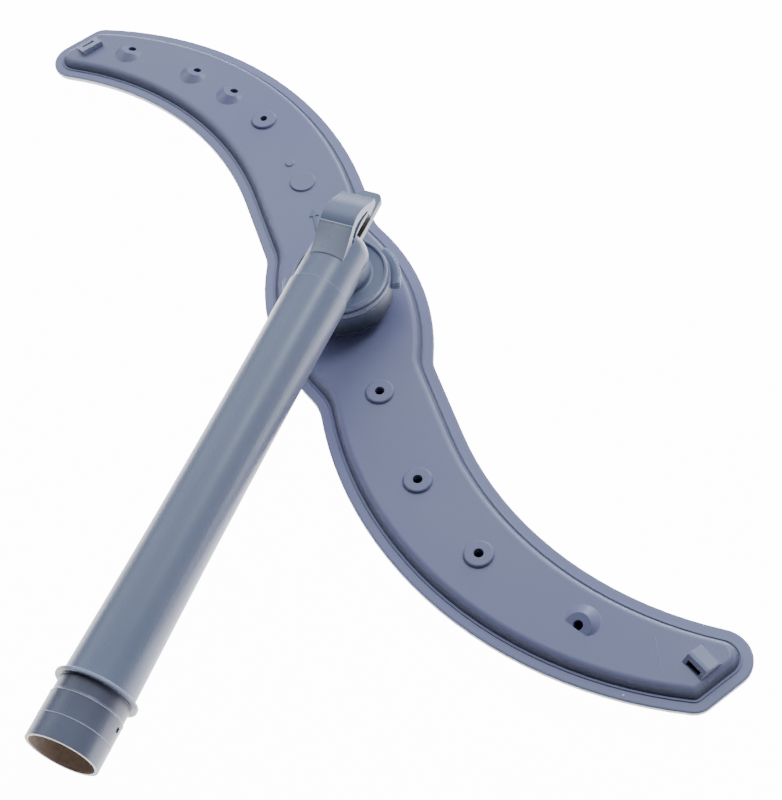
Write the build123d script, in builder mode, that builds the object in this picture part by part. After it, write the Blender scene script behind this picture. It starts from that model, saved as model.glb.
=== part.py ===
from build123d import *
import os
from math import atan, cos, degrees, radians, sin, sqrt, tan

# Upper spray arm of a dishwasher, with the pipe that feeds it. Millimetres.
# The origin lies on the axis that the arm spins about, at the arm's flat underside.
# +Z points up, from the arm to the pipe, and the pipe runs from the hub towards -Y.
# Plan sizes of the arm are in its own frame: +x towards one tip, +y across the blades.

# Outline of the arm, given for the blade on +x. The other blade is the same, half a turn round
arm_span = 471.4
arm_direction = -30.37
leading_reach = 60.5
leading_reach_x = 118.0
leading_inner_radius = 176.0
leading_outer_radius = 167.5
trailing_reach = 9.5
trailing_reach_x = 131.0
trailing_radius = 146.0
trailing_slope = 18.8
bulge_radius = 106.0
bulge_shift_x = 25.3
waist_bite = 9.36
waist_radius = 15.0
shoulder_radius = 20.0
tip_leading_radius = 8.5
tip_trailing_radius = 12.3

# Section through the arm: two trays, joined at their flanges
shell_wall = 2.0
upper_flange = 1.8
lower_flange = 1.2
lower_flange_inset = 0.5
lower_depth = 8.2
lower_wall_lean = 2.5
lower_edge_radius = 2.0
flange_width = 5.3
flange_edge_radius = 0.8
panel_height = 3.8
panel_wall_lean = 1.9
panel_edge_radius = 3.2
bead_inset = 4.2
bead_width = 0.8
bead_height = 0.35

# Nozzles on the panel
nozzle_top = 12.0
nozzle_foot = 13.5
nozzle_rise = 1.2
nozzle_edge = 0.9
nozzle_hole = 4.0
small_nozzle_hole = 3.4
slanted_top = 10.0
slanted_foot = 17.5
slanted_foot_shift = 2.6
slanted_root = 0.8
slanted_tilt = 20.0
slanted_rise = 0.5
slanted_hole = 3.9
boss_root = 1.0
wedge_root = 1.5
wedge_height = 2.8
wedge_length = 9.8
wedge_front = 3.0
wedge_ridge = 1.4
wedge_crest = 4.6
wedge_back = 1.4
wedge_back_height = 2.0
slot_length = 6.4
slot_width = 2.1
slot_share = 0.3
end_wedge_length = 11.0
end_wedge_front = 0.7
end_wedge_back = 7.6

# Marks moulded on the panel
pad_size = 12.3
pad_rise = 0.8
dot_size = 4.5
dot_rise = 0.5
mark_taper = 35.0

# Hub of the arm: collar, neck and the rim that the neck hangs by
collar_radius = 17.4
collar_height = 9.7
collar_edge_radius = 1.2
hub_wall = 2.0
neck_bore_radius = 11.0
neck_radius = 14.6
rim_radius = 18.6
rim_thickness = 1.7

# Locking ring round the hub
ring_radius = 21.2
ring_height = 10.4
ring_wall = 1.8
ring_floor = 2.0
ring_edge_radius = 0.6
grip_radius = 25.3
grip_angle = 50.0
grip_direction = 40.1
grip_rim = 1.2
grip_floor = 2.0
grip_depth = 4.2
grip_top_drop = 0.1
tooth_count = 12
tooth_radius = 0.55

# Bearing washer between the ring's floor and the rim of the neck
washer_thickness = 1.0

# Bayonet between the ring and the pipe's hub cap
lug_count = 3
lug_angle = 36.0
lug_reach = 1.4
lug_height = 1.7
skirt_radius = 17.6
skirt_wall = 1.8

# Clearances
spin_gap = 0.25
side_gap = 0.4
lift_gap = 0.3
washer_gap = 0.05

# Hub cap and neck of the feed pipe
cap_radius = 20.3
cap_step_radius = 21.2
cap_step_height = 2.2
cap_groove_depth = 0.5
cap_groove_width = 0.5
cap_height = 5.0
cap_floor = 4.0
cap_lip = 1.3
cap_lip_radius = 0.55
pipe_neck_radius = 13.0
pipe_neck_fillet = 1.2
web_half_width = 10.2
spigot_wall = 1.9
spigot_reach = 4.0

# Feed pipe, with places along it counted from the hub's axis towards the docking end
pipe_level = 44.2
pipe_length = 235.0
pipe_hub_radius = 12.55
pipe_step = 20.0
pipe_step_radius = 13.15
pipe_waist = 100.0
pipe_waist_radius = 12.8
pipe_end_radius = 14.1
pipe_wall = 1.8
dome_reach = 11.5
dome_radius = 9.0
dock_length = 26.2
dock_flange_thickness = 1.7
dock_flange_radius = 16.3
dock_flange_edge = 0.5
dock_undercut_radius = 14.0
dock_undercut_width = 5.5
dock_radius = 14.3
dock_wall = 1.4
dock_bevel = 1.0
dock_line = 9.0
dock_line_width = 0.3
dock_line_depth = 0.1
notch = 15.0
notch_width = 2.0
notch_depth = 0.7

# Basket clip, a hook over a flat tongue. Heights are above the arm's flange
clip_half_width = 7.5
clip_root = (-5.5, 44.0)
clip_ridge = (5.0, 51.8)
clip_crown = (12.0, 53.1)
clip_slope = (19.5, 50.1)
clip_tip_top = (26.0, 46.8)
clip_tip_bottom = (26.0, 43.9)
clip_barb = (20.4, 42.3)
clip_throat = (18.9, 44.9)
clip_roof = (10.3, 45.2)
pocket_foot = (1.2, 44.0)
pocket_shoulder = (3.9, 47.4)
pocket_top = (8.4, 49.4)
pocket_bend = (13.5, 48.9)
pocket_end_top = (18.2, 47.4)
pocket_end_bottom = (18.9, 46.2)
pocket_belly = (13.0, 46.9)
pocket_heel = (6.8, 46.0)
pocket_foot_low = (2.9, 43.4)
pocket_web = 2.0
tongue_half_width = 5.9
tongue_level = 34.4
tongue_thickness = 3.0
tongue_reach = 37.0
tongue_corner = 3.5

# Levels worked out from the sizes above
joint_level = lower_depth
flange_top = lower_depth + upper_flange
panel_top = flange_top + panel_height
panel_lean = degrees(atan(panel_wall_lean / panel_height))
lower_lean = degrees(atan(lower_wall_lean / (lower_depth - lower_flange)))
collar_top = flange_top + collar_height
ring_bottom = collar_top + side_gap
ring_floor_top = ring_bottom + ring_floor
washer_bottom = ring_floor_top + washer_gap
rim_bottom = washer_bottom + washer_thickness + washer_gap
rim_top = rim_bottom + rim_thickness
ring_top = ring_bottom + ring_height
cap_bottom = ring_top + lift_gap
ring_inner_radius = ring_radius - ring_wall
skirt_bottom = rim_top + lift_gap
skirt_lug_radius = skirt_radius + lug_reach
ring_lug_bottom = skirt_bottom + lug_height + lift_gap
ring_lug_radius = skirt_radius + side_gap
tip_x = arm_span / 2


def on_arm(x, y, level):
    """Point given in the arm's own frame."""
    return Vector(x, y, level).rotate(Axis.Z, arm_direction)


def arm_plane(level, x=0.0, y=0.0, heading=0.0, tilt=0.0):
    """Plane on the arm, facing up, or tilted by some degrees to face towards the heading."""
    turn = radians(arm_direction + heading)
    lean = radians(tilt)
    return Plane(
        origin=on_arm(x, y, level),
        x_dir=(cos(lean) * cos(turn), cos(lean) * sin(turn), -sin(lean)),
        z_dir=(sin(lean) * cos(turn), sin(lean) * sin(turn), cos(lean)),
    )


def upright_plane(heading, origin=(0, 0, 0)):
    """Upright plane with its x axis along the heading and its y axis up."""
    turn = radians(heading)
    return Plane(origin=origin, x_dir=(cos(turn), sin(turn), 0), z_dir=(sin(turn), -cos(turn), 0))


def crossings(centre_a, radius_a, centre_b, radius_b):
    """Both points where two circles of the outline cross."""
    gap = centre_b - centre_a
    along = (gap.length**2 + radius_a**2 - radius_b**2) / (2 * gap.length)
    across = sqrt(radius_a**2 - along**2)
    foot = centre_a + gap.normalized() * along
    side = gap.normalized().rotate(Axis.Z, 90) * across
    return [foot + side, foot - side]


def below_centre(centre, radius, x):
    """Point on the lower side of a circle at a given x."""
    return Vector(x, centre.Y - sqrt(radius**2 - (x - centre.X) ** 2))


# Corners of one blade, where the arcs of its outline meet
# The trailing edge is an arc and then a straight side, which bites a little into the hub's bulge
leading_inner_centre = Vector(leading_reach_x, leading_inner_radius - leading_reach)
leading_outer_centre = Vector(leading_reach_x, leading_outer_radius - leading_reach)
trailing_centre = Vector(trailing_reach_x, trailing_radius - trailing_reach)
slope = radians(trailing_slope)
straight_side = Vector(sin(slope), cos(slope))
straight_run = Vector(cos(slope), -sin(slope))
trailing_bend = trailing_centre - straight_side * trailing_radius
bulge_gap = bulge_radius - waist_bite
bulge_rise = ((trailing_bend.X + bulge_shift_x) * sin(slope) - bulge_gap) / cos(slope)
bulge_centre = Vector(-bulge_shift_x, trailing_bend.Y + bulge_rise)
bulge_run = sqrt(bulge_radius**2 - bulge_gap**2)
waist = bulge_centre + straight_side * bulge_gap + straight_run * bulge_run
shoulder = min(
    crossings(leading_inner_centre, leading_inner_radius, bulge_centre * -1, bulge_radius),
    key=lambda point: point.Y,
)
leading_low = Vector(leading_reach_x, -leading_reach)
leading_corner = below_centre(leading_outer_centre, leading_outer_radius, tip_x)
trailing_corner = below_centre(trailing_centre, trailing_radius, tip_x)

with BuildSketch() as arm_outline:
    with BuildLine():
        for turn in (1, -1):
            RadiusArc(shoulder * turn, leading_low * turn, -leading_inner_radius)
            RadiusArc(leading_low * turn, leading_corner * turn, -leading_outer_radius)
            Line(leading_corner * turn, trailing_corner * turn)
            RadiusArc(trailing_corner * turn, trailing_bend * turn, trailing_radius)
            Line(trailing_bend * turn, waist * turn)
            RadiusArc(waist * turn, shoulder * -turn, -bulge_radius)
    make_face()
    rounds = (
        (waist, waist_radius),
        (shoulder, shoulder_radius),
        (leading_corner, tip_leading_radius),
        (trailing_corner, tip_trailing_radius),
    )
    for corner, radius in rounds:
        both = (corner, corner * -1)
        fillet(
            [v for v in arm_outline.vertices() if min(v.distance_to(c) for c in both) < 0.01],
            radius,
        )

# Places of the flat nozzles: x, y, hole
flat_nozzles = (
    (47.2, -16.7, nozzle_hole),
    (92.2, -31.0, nozzle_hole),
    (134.4, -33.5, nozzle_hole),
    (-118.7, 36.5, small_nozzle_hole),
)
# Places of the slanted nozzles: x, y, and the direction that each one sprays towards
slanted_nozzles = (
    (182.0, -24.3, -80.0),
    (-145.0, 36.7, 96.0),
    (-170.0, 31.1, 100.0),
    (-206.0, 15.0, 104.0),
)
pad_place = (-72.8, 27.3)
dot_place = (-86.9, 29.6)
slot_wedge_place = (217.0, -5.0)
end_wedge_place = (-218.7, -5.6)

# Upper shell of the arm: flange, raised panel, hollow below, and the hub's collar and neck
with BuildPart() as arm_upper_shell:
    with BuildSketch(arm_plane(joint_level)):
        add(arm_outline.sketch)
    extrude(amount=upper_flange)
    fillet(arm_upper_shell.edges().group_by(Axis.Z)[-1], flange_edge_radius)
    with BuildSketch(arm_plane(flange_top)):
        add(arm_outline.sketch)
        offset(amount=-bead_inset, mode=Mode.REPLACE)
        offset(amount=-bead_width, mode=Mode.SUBTRACT)
    extrude(amount=bead_height)
    with BuildSketch(arm_plane(flange_top)):
        add(arm_outline.sketch)
        offset(amount=-flange_width, mode=Mode.REPLACE)
    extrude(amount=panel_height, taper=panel_lean)
    fillet(arm_upper_shell.edges().group_by(Axis.Z)[-1], panel_edge_radius)
    with BuildSketch(Plane.XZ):
        with BuildLine():
            Polyline(
                (0, panel_top - shell_wall),
                (collar_radius, panel_top - shell_wall),
                (collar_radius, collar_top - collar_edge_radius),
            )
            RadiusArc(
                (collar_radius, collar_top - collar_edge_radius),
                (collar_radius - collar_edge_radius, collar_top),
                -collar_edge_radius,
            )
            Polyline(
                (collar_radius - collar_edge_radius, collar_top),
                (neck_radius, collar_top),
                (neck_radius, rim_bottom),
                (rim_radius, rim_bottom),
                (rim_radius, rim_top),
                (0, rim_top),
                (0, panel_top - shell_wall),
            )
        make_face()
    revolve(axis=Axis.Z)
    with BuildSketch(arm_plane(joint_level)):
        add(arm_outline.sketch)
        offset(amount=-flange_width - shell_wall, mode=Mode.REPLACE)
    extrude(
        amount=panel_top - shell_wall - joint_level,
        taper=panel_lean,
        mode=Mode.SUBTRACT,
    )
    with BuildSketch(Plane.XY.offset(joint_level)):
        Circle(collar_radius - hub_wall)
    extrude(amount=collar_top - hub_wall - joint_level, mode=Mode.SUBTRACT)
    with BuildSketch(Plane.XY.offset(joint_level)):
        Circle(neck_bore_radius)
    extrude(amount=rim_top - joint_level, mode=Mode.SUBTRACT)
    for x, y, hole in flat_nozzles:
        middle = on_arm(x, y, panel_top)
        with BuildSketch(upright_plane(arm_direction, middle)):
            with BuildLine():
                Polyline(
                    (0, nozzle_rise),
                    (0, -boss_root),
                    (nozzle_foot / 2, -boss_root),
                    (nozzle_top / 2, nozzle_rise - nozzle_edge),
                )
                RadiusArc(
                    (nozzle_top / 2, nozzle_rise - nozzle_edge),
                    (nozzle_top / 2 - nozzle_edge, nozzle_rise),
                    -nozzle_edge,
                )
                Line((nozzle_top / 2 - nozzle_edge, nozzle_rise), (0, nozzle_rise))
            make_face()
        revolve(axis=Axis(middle, (0, 0, 1)))
        with BuildSketch(arm_plane(panel_top + nozzle_rise, x, y)):
            Circle(hole / 2)
        extrude(amount=-nozzle_rise - 2 * shell_wall, mode=Mode.SUBTRACT)
    chord_ahead = slanted_rise / tan(radians(slanted_tilt))
    chord_down = slanted_rise / sin(radians(slanted_tilt))
    for x, y, spray in slanted_nozzles:
        face = arm_plane(panel_top + slanted_rise, x, y, spray, slanted_tilt)
        with BuildSketch(arm_plane(panel_top - slanted_root, x, y, spray)):
            with Locations((-slanted_foot_shift, 0)):
                Circle(slanted_foot / 2)
            with Locations((chord_ahead, 0)):
                Rectangle(
                    slanted_foot, 2 * slanted_foot, align=(Align.MIN, Align.CENTER), mode=Mode.SUBTRACT
                )
        with BuildSketch(face):
            Circle(slanted_top / 2)
            with Locations((chord_down, 0)):
                Rectangle(
                    slanted_top, 2 * slanted_top, align=(Align.MIN, Align.CENTER), mode=Mode.SUBTRACT
                )
        loft()
        with BuildSketch(face):
            Circle(slanted_hole / 2)
        extrude(amount=-slanted_rise - 2 * shell_wall, mode=Mode.SUBTRACT)
    wedge_x, wedge_y = slot_wedge_place
    wedge_end = wedge_front + wedge_ridge + wedge_crest + wedge_back
    foot = on_arm(wedge_x, wedge_y, panel_top)
    with BuildSketch(upright_plane(arm_direction + 90, foot)):
        with BuildLine():
            Polyline(
                (0, -wedge_root),
                (0, 0),
                (wedge_front, wedge_height),
                (wedge_front + wedge_ridge, wedge_height),
                (wedge_end - wedge_back, wedge_back_height),
                (wedge_end, 0),
                (wedge_end, -wedge_root),
                close=True,
            )
        make_face()
    extrude(amount=wedge_length)
    slot_plane = arm_plane(
        panel_top + slot_share * wedge_height,
        wedge_x + wedge_length / 2,
        wedge_y + slot_share * wedge_front,
        -90,
        degrees(atan(wedge_height / wedge_front)),
    )
    with BuildSketch(slot_plane):
        Rectangle(slot_width, slot_length)
    extrude(amount=-wedge_height - 2 * shell_wall, mode=Mode.SUBTRACT)
    wedge_x, wedge_y = end_wedge_place
    foot = on_arm(wedge_x, wedge_y + end_wedge_length, panel_top)
    with BuildSketch(upright_plane(arm_direction, foot)):
        with BuildLine():
            Polyline(
                (0, -wedge_root),
                (0, 0),
                (-end_wedge_front, wedge_height),
                (-end_wedge_front - end_wedge_back, 0),
                (-end_wedge_front - end_wedge_back, -wedge_root),
                close=True,
            )
        make_face()
    extrude(amount=end_wedge_length)
    slot_plane = arm_plane(
        panel_top + slot_share * wedge_height,
        wedge_x - end_wedge_front - end_wedge_back * (1 - slot_share),
        wedge_y + end_wedge_length / 2,
        180,
        degrees(atan(wedge_height / end_wedge_back)),
    )
    with BuildSketch(slot_plane):
        Rectangle(slot_width, slot_length)
    extrude(amount=-wedge_height - 2 * shell_wall, mode=Mode.SUBTRACT)
    for place, size, rise in ((pad_place, pad_size, pad_rise), (dot_place, dot_size, dot_rise)):
        with BuildSketch(arm_plane(panel_top, *place)):
            Circle(size / 2)
        extrude(amount=rise, taper=mark_taper)

arm_upper_shell.part.label = "arm_upper_shell"

# Lower shell of the arm: a plain tray, its flange a little inside the upper one
with BuildPart() as arm_lower_shell:
    with BuildSketch(arm_plane(joint_level)):
        add(arm_outline.sketch)
        offset(amount=-lower_flange_inset, mode=Mode.REPLACE)
    extrude(amount=-lower_flange)
    with BuildSketch(arm_plane(joint_level - lower_flange)):
        add(arm_outline.sketch)
        offset(amount=-flange_width, mode=Mode.REPLACE)
    extrude(amount=lower_flange - lower_depth, taper=lower_lean)
    fillet(arm_lower_shell.edges().group_by(Axis.Z)[0], lower_edge_radius)
    with BuildSketch(arm_plane(joint_level)):
        add(arm_outline.sketch)
        offset(amount=-flange_width - shell_wall, mode=Mode.REPLACE)
    extrude(amount=shell_wall - lower_depth, taper=lower_lean, mode=Mode.SUBTRACT)

arm_lower_shell.part.label = "arm_lower_shell"

# Bearing washer, loose round the neck of the arm
with BuildPart() as bearing_washer:
    with BuildSketch(Plane.XY.offset(washer_bottom)):
        Circle(rim_radius)
        Circle(neck_radius + side_gap, mode=Mode.SUBTRACT)
    extrude(amount=washer_thickness)

bearing_washer.part.label = "bearing_washer"

# Locking ring: a cup with a hole in its floor, three lugs inside and two grips outside
with BuildPart() as locking_ring:
    with BuildSketch(Plane.XY.offset(ring_bottom)):
        Circle(ring_radius)
    extrude(amount=ring_height)
    fillet(locking_ring.edges(), ring_edge_radius)
    for side in (0, 180):
        start = grip_direction + side - grip_angle / 2
        with BuildSketch(upright_plane(start)):
            with BuildLine():
                Polyline(
                    (ring_radius - ring_wall / 2, ring_top - grip_depth + grip_floor),
                    (ring_radius - ring_wall / 2, ring_top - grip_depth),
                    (grip_radius - grip_rim, ring_top - grip_depth),
                    (grip_radius, ring_top - grip_depth + grip_rim),
                    (grip_radius, ring_top - grip_top_drop),
                    (grip_radius - grip_rim, ring_top - grip_top_drop),
                )
                RadiusArc(
                    (grip_radius - grip_rim, ring_top - grip_top_drop),
                    (ring_radius - ring_wall / 2, ring_top - grip_depth + grip_floor),
                    -2 * grip_depth,
                )
            make_face()
        revolve(axis=Axis.Z, revolution_arc=grip_angle)
        tooth_pitch = grip_angle / tooth_count
        with BuildSketch(Plane.XY.offset(ring_top)):
            with PolarLocations(
                grip_radius, tooth_count, start + tooth_pitch / 2, grip_angle - tooth_pitch, endpoint=True
            ):
                Circle(tooth_radius)
        extrude(amount=-grip_depth, mode=Mode.SUBTRACT)
    with BuildSketch(Plane.XY.offset(ring_floor_top)):
        Circle(ring_inner_radius)
    extrude(amount=ring_height - ring_floor, mode=Mode.SUBTRACT)
    with BuildSketch(Plane.XY.offset(ring_bottom)):
        Circle(neck_radius + side_gap)
    extrude(amount=ring_floor, mode=Mode.SUBTRACT)
    for lug in range(lug_count):
        with BuildSketch(upright_plane(lug * 360 / lug_count - lug_angle / 2)):
            with BuildLine():
                Polyline(
                    (ring_lug_radius, ring_lug_bottom),
                    (ring_inner_radius + ring_wall / 2, ring_lug_bottom),
                    (ring_inner_radius + ring_wall / 2, ring_lug_bottom + lug_height),
                    (ring_lug_radius, ring_lug_bottom + lug_height),
                    close=True,
                )
            make_face()
        revolve(axis=Axis.Z, revolution_arc=lug_angle)

locking_ring.part.label = "locking_ring"

# Feed pipe, one moulding: pipe, hub cap, spigot, docking end and basket clip
pipe_plane = Plane(origin=(0, 0, pipe_level), x_dir=(0, -1, 0), z_dir=(-1, 0, 0))
pipe_axis = Axis((0, 0, pipe_level), (0, 1, 0))
clip_plane = Plane(origin=(0, 0, flange_top), x_dir=(0, 1, 0), z_dir=(1, 0, 0))
dock_flange = pipe_length - dock_length
dock_undercut = dock_flange + dock_flange_thickness
dock_start = dock_undercut + dock_undercut_width
line_start = pipe_length - dock_line - dock_line_width / 2
line_end = line_start + dock_line_width
dome_centre = dome_radius - dome_reach
dome_flat = pipe_hub_radius - dome_radius
bore_hub_radius = pipe_hub_radius - pipe_wall
bore_end_radius = pipe_end_radius - pipe_wall
bore_dock_radius = dock_radius - dock_wall
bore_waist_radius = pipe_waist_radius - pipe_wall
cap_floor_top = cap_bottom + cap_floor
cap_top = cap_bottom + cap_height

with BuildPart() as feed_pipe:
    with BuildSketch(pipe_plane):
        with BuildLine():
            Line((-dome_reach, 0), (-dome_reach, dome_flat))
            RadiusArc((-dome_reach, dome_flat), (dome_centre, pipe_hub_radius), dome_radius)
            Polyline(
                (dome_centre, pipe_hub_radius),
                (pipe_step, pipe_hub_radius),
                (pipe_step, pipe_step_radius),
            )
            ThreePointArc(
                (pipe_step, pipe_step_radius),
                (pipe_waist, pipe_waist_radius),
                (dock_flange, pipe_end_radius),
            )
            Polyline(
                (dock_flange, pipe_end_radius),
                (dock_flange, dock_flange_radius),
                (dock_undercut, dock_flange_radius),
                (dock_undercut, dock_undercut_radius),
                (dock_start, dock_undercut_radius),
                (dock_start + dock_bevel, dock_radius),
                (line_start, dock_radius),
                (line_start, dock_radius - dock_line_depth),
                (line_end, dock_radius - dock_line_depth),
                (line_end, dock_radius),
                (pipe_length, dock_radius),
                (pipe_length, 0),
                (-dome_reach, 0),
            )
        make_face()
    revolve(axis=pipe_axis)
    flange_edges = feed_pipe.edges().filter_by(GeomType.CIRCLE)
    fillet(flange_edges.filter_by(lambda e: abs(e.radius - dock_flange_radius) < 0.01), dock_flange_edge)
    with BuildSketch(Plane.XZ):
        with BuildLine():
            Polyline(
                (0, cap_bottom),
                (cap_step_radius, cap_bottom),
                (cap_step_radius, cap_bottom + cap_step_height),
                (cap_radius - cap_groove_depth, cap_bottom + cap_step_height),
                (cap_radius - cap_groove_depth, cap_bottom + cap_step_height + cap_groove_width),
                (cap_radius, cap_bottom + cap_step_height + cap_groove_width),
                (cap_radius, cap_top - cap_lip_radius),
            )
            RadiusArc(
                (cap_radius, cap_top - cap_lip_radius),
                (cap_radius - cap_lip_radius, cap_top),
                -cap_lip_radius,
            )
            Polyline(
                (cap_radius - cap_lip_radius, cap_top),
                (cap_radius - cap_lip, cap_top),
                (cap_radius - cap_lip, cap_floor_top),
                (pipe_neck_radius + pipe_neck_fillet, cap_floor_top),
            )
            RadiusArc(
                (pipe_neck_radius + pipe_neck_fillet, cap_floor_top),
                (pipe_neck_radius, cap_floor_top + pipe_neck_fillet),
                pipe_neck_fillet,
            )
            Polyline(
                (pipe_neck_radius, cap_floor_top + pipe_neck_fillet),
                (pipe_neck_radius, pipe_level),
                (0, pipe_level),
                (0, cap_bottom),
            )
        make_face()
    revolve(axis=Axis.Z)
    with BuildSketch(Plane.XY.offset(cap_bottom)):
        Circle(cap_radius - cap_lip)
        with Locations((0, -cap_radius / 2)):
            Rectangle(2 * web_half_width, cap_radius, mode=Mode.INTERSECT)
    extrude(amount=pipe_level - pipe_hub_radius / 2 - cap_bottom)
    with BuildSketch(clip_plane):
        with BuildLine():
            Line(clip_root, clip_ridge)
            Spline(clip_ridge, clip_crown, clip_slope, clip_tip_top)
            Polyline(clip_tip_top, clip_tip_bottom, clip_barb, clip_throat, clip_roof)
            Line(clip_roof, clip_root)
        make_face()
    extrude(amount=clip_half_width, both=True)
    for side in (1, -1):
        with BuildSketch(clip_plane.offset(side * clip_half_width)):
            with BuildLine():
                ThreePointArc(pocket_foot, pocket_shoulder, pocket_top)
                ThreePointArc(pocket_top, pocket_bend, pocket_end_top)
                Line(pocket_end_top, pocket_end_bottom)
                ThreePointArc(pocket_end_bottom, pocket_belly, pocket_heel)
                Polyline(pocket_heel, pocket_foot_low, pocket_foot)
            make_face()
        extrude(amount=side * (pocket_web / 2 - clip_half_width), mode=Mode.SUBTRACT)
    with BuildSketch(Plane.XY.offset(flange_top + tongue_level)) as tongue:
        with Locations((0, tongue_reach / 2)):
            Rectangle(2 * tongue_half_width, tongue_reach)
        fillet(tongue.vertices().group_by(Axis.Y)[-1], tongue_corner)
    extrude(amount=tongue_thickness)
    with BuildSketch(Plane.XY.offset(skirt_bottom)):
        Circle(skirt_radius)
        Circle(skirt_radius - skirt_wall, mode=Mode.SUBTRACT)
    extrude(amount=cap_bottom - skirt_bottom)
    for lug in range(lug_count):
        with BuildSketch(upright_plane(lug * 360 / lug_count - lug_angle / 2)):
            with BuildLine():
                Polyline(
                    (skirt_radius - skirt_wall / 2, skirt_bottom),
                    (skirt_lug_radius, skirt_bottom),
                    (skirt_lug_radius, skirt_bottom + lug_height),
                    (skirt_radius - skirt_wall / 2, skirt_bottom + lug_height),
                    close=True,
                )
            make_face()
        revolve(axis=Axis.Z, revolution_arc=lug_angle)
    with BuildSketch(Plane.XY.offset(flange_top + spigot_reach)):
        Circle(neck_bore_radius - spin_gap)
    extrude(amount=cap_bottom - flange_top - spigot_reach)
    with BuildSketch(pipe_plane):
        with BuildLine():
            Line((pipe_wall - dome_reach, 0), (pipe_wall - dome_reach, dome_flat))
            RadiusArc(
                (pipe_wall - dome_reach, dome_flat),
                (dome_centre, bore_hub_radius),
                dome_radius - pipe_wall,
            )
            Line((dome_centre, bore_hub_radius), (pipe_step, bore_hub_radius))
            ThreePointArc(
                (pipe_step, bore_hub_radius),
                (pipe_waist, bore_waist_radius),
                (dock_start, bore_end_radius),
            )
            Polyline(
                (dock_start, bore_end_radius),
                (dock_start + dock_bevel, bore_dock_radius),
                (pipe_length, bore_dock_radius),
                (pipe_length, 0),
                (pipe_wall - dome_reach, 0),
            )
        make_face()
    revolve(axis=pipe_axis, mode=Mode.SUBTRACT)
    with BuildSketch(Plane.XY.offset(flange_top + spigot_reach)):
        Circle(neck_bore_radius - spin_gap - spigot_wall)
    extrude(amount=pipe_level - flange_top - spigot_reach, mode=Mode.SUBTRACT)
    with BuildSketch(Plane.YZ.offset(dock_radius - notch_depth)):
        with Locations((notch - pipe_length, pipe_level)):
            Rectangle(notch_width, notch_width)
    extrude(amount=notch_depth, mode=Mode.SUBTRACT)

feed_pipe.part.label = "feed_pipe"

finished = (arm_upper_shell, arm_lower_shell, bearing_washer, locking_ring, feed_pipe)
os.makedirs("parts", exist_ok=True)
for piece in finished:
    export_step(piece.part, f"parts/{piece.part.label}.step")
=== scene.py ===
from math import cos, pi, radians, sin

import bmesh
import bpy
from bpy.props import FloatProperty, FloatVectorProperty, IntProperty, PointerProperty
from mathutils import Matrix, Vector


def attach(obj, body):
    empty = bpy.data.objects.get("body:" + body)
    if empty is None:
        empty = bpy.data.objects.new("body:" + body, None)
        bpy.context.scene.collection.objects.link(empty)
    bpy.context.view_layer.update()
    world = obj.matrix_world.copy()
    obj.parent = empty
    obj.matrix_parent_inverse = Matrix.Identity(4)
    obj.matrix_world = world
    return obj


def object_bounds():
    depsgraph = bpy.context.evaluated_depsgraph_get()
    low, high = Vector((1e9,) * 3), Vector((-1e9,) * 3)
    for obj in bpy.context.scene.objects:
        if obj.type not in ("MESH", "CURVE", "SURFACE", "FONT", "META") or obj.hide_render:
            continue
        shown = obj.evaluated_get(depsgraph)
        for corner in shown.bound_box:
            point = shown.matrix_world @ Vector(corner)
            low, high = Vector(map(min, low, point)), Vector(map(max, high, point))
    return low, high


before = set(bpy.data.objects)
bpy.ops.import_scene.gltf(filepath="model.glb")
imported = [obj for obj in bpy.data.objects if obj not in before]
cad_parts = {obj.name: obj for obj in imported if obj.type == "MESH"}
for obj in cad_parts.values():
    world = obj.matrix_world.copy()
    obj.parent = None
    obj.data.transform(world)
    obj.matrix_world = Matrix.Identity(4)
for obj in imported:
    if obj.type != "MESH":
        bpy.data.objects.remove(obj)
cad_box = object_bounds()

# Dresses the imported spray arm: satin plastics with painted highlights, painted light and painted shade,
# small moulding marks, floor, light and camera.
# Everything is in metres, in the frame of the imported model, unless a name or note says millimetres.

bl_info = {
    "name": "Spray Arm Dresser",
    "version": (1, 0, 0),
    "blender": (4, 5, 0),
    "location": "View3D > Sidebar > Spray Arm",
    "description": "Finishes and small moulded details for a dishwasher spray arm with its feed pipe",
    "category": "Object",
}

MM = 0.001

# Levels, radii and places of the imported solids
ARM_TURN = radians(-30.37)
WELD_BOTTOM = 6.9 * MM
FLANGE_LEVEL = 10.0 * MM
PANEL_LEVEL = 13.8 * MM
RING_RADIUS = 21.2 * MM
RING_BOTTOM = 20.0 * MM
RING_TOP = 30.3 * MM
PIPE_LEVEL = 44.2 * MM
MOUTH_RADIUS = 13.0 * MM
DOCK_RADIUS = 14.3 * MM
DOCK_PLACE = -210.5 * MM
DOCK_LENGTH = 18.0 * MM
PLAIN_PIPE_START = -190.0 * MM

# Box of the clip's channel, in millimetres
CHANNEL = (("X", -7.4, 7.4), ("Y", 9.0, 23.0), ("Z", 46.9, 55.2))

# Softboxes that point at the hub: side that each hangs on, place and size
SOFTBOXES = (
    ("top", (-0.2, 0.62, 0.85), 1.0),
    ("side", (0.44, 0.75, 1.08), 0.35),
    ("left", (-1.1, 0.35, 0.8), 0.8),
    ("back", (0.1, 1.3, 0.28), 0.5),
)


def colour(name, description, default):
    """Colour property with the settings that all of them share."""
    return FloatVectorProperty(
        name=name, description=description, default=default, subtype="COLOR", size=3, min=0.0, max=1.0
    )


def length(name, description, default):
    """Length property, in metres."""
    return FloatProperty(name=name, description=description, default=default, unit="LENGTH", min=0.0)


def along(name, description, default):
    """Place along an axis of the part, in metres, which may be negative."""
    return FloatProperty(name=name, description=description, default=default, unit="LENGTH")


def point(name, description, default):
    """Point in the part's frame, in metres."""
    return FloatVectorProperty(name=name, description=description, default=default, unit="LENGTH")


def spot(name, description, default):
    """Spot in the arm's own plan, x along the blades, in millimetres."""
    return FloatVectorProperty(name=name, description=description, default=default, size=2)


def angle(name, description, degrees):
    """Angle property, with its default given in degrees."""
    return FloatProperty(name=name, description=description, default=radians(degrees), unit="ROTATION")


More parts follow.
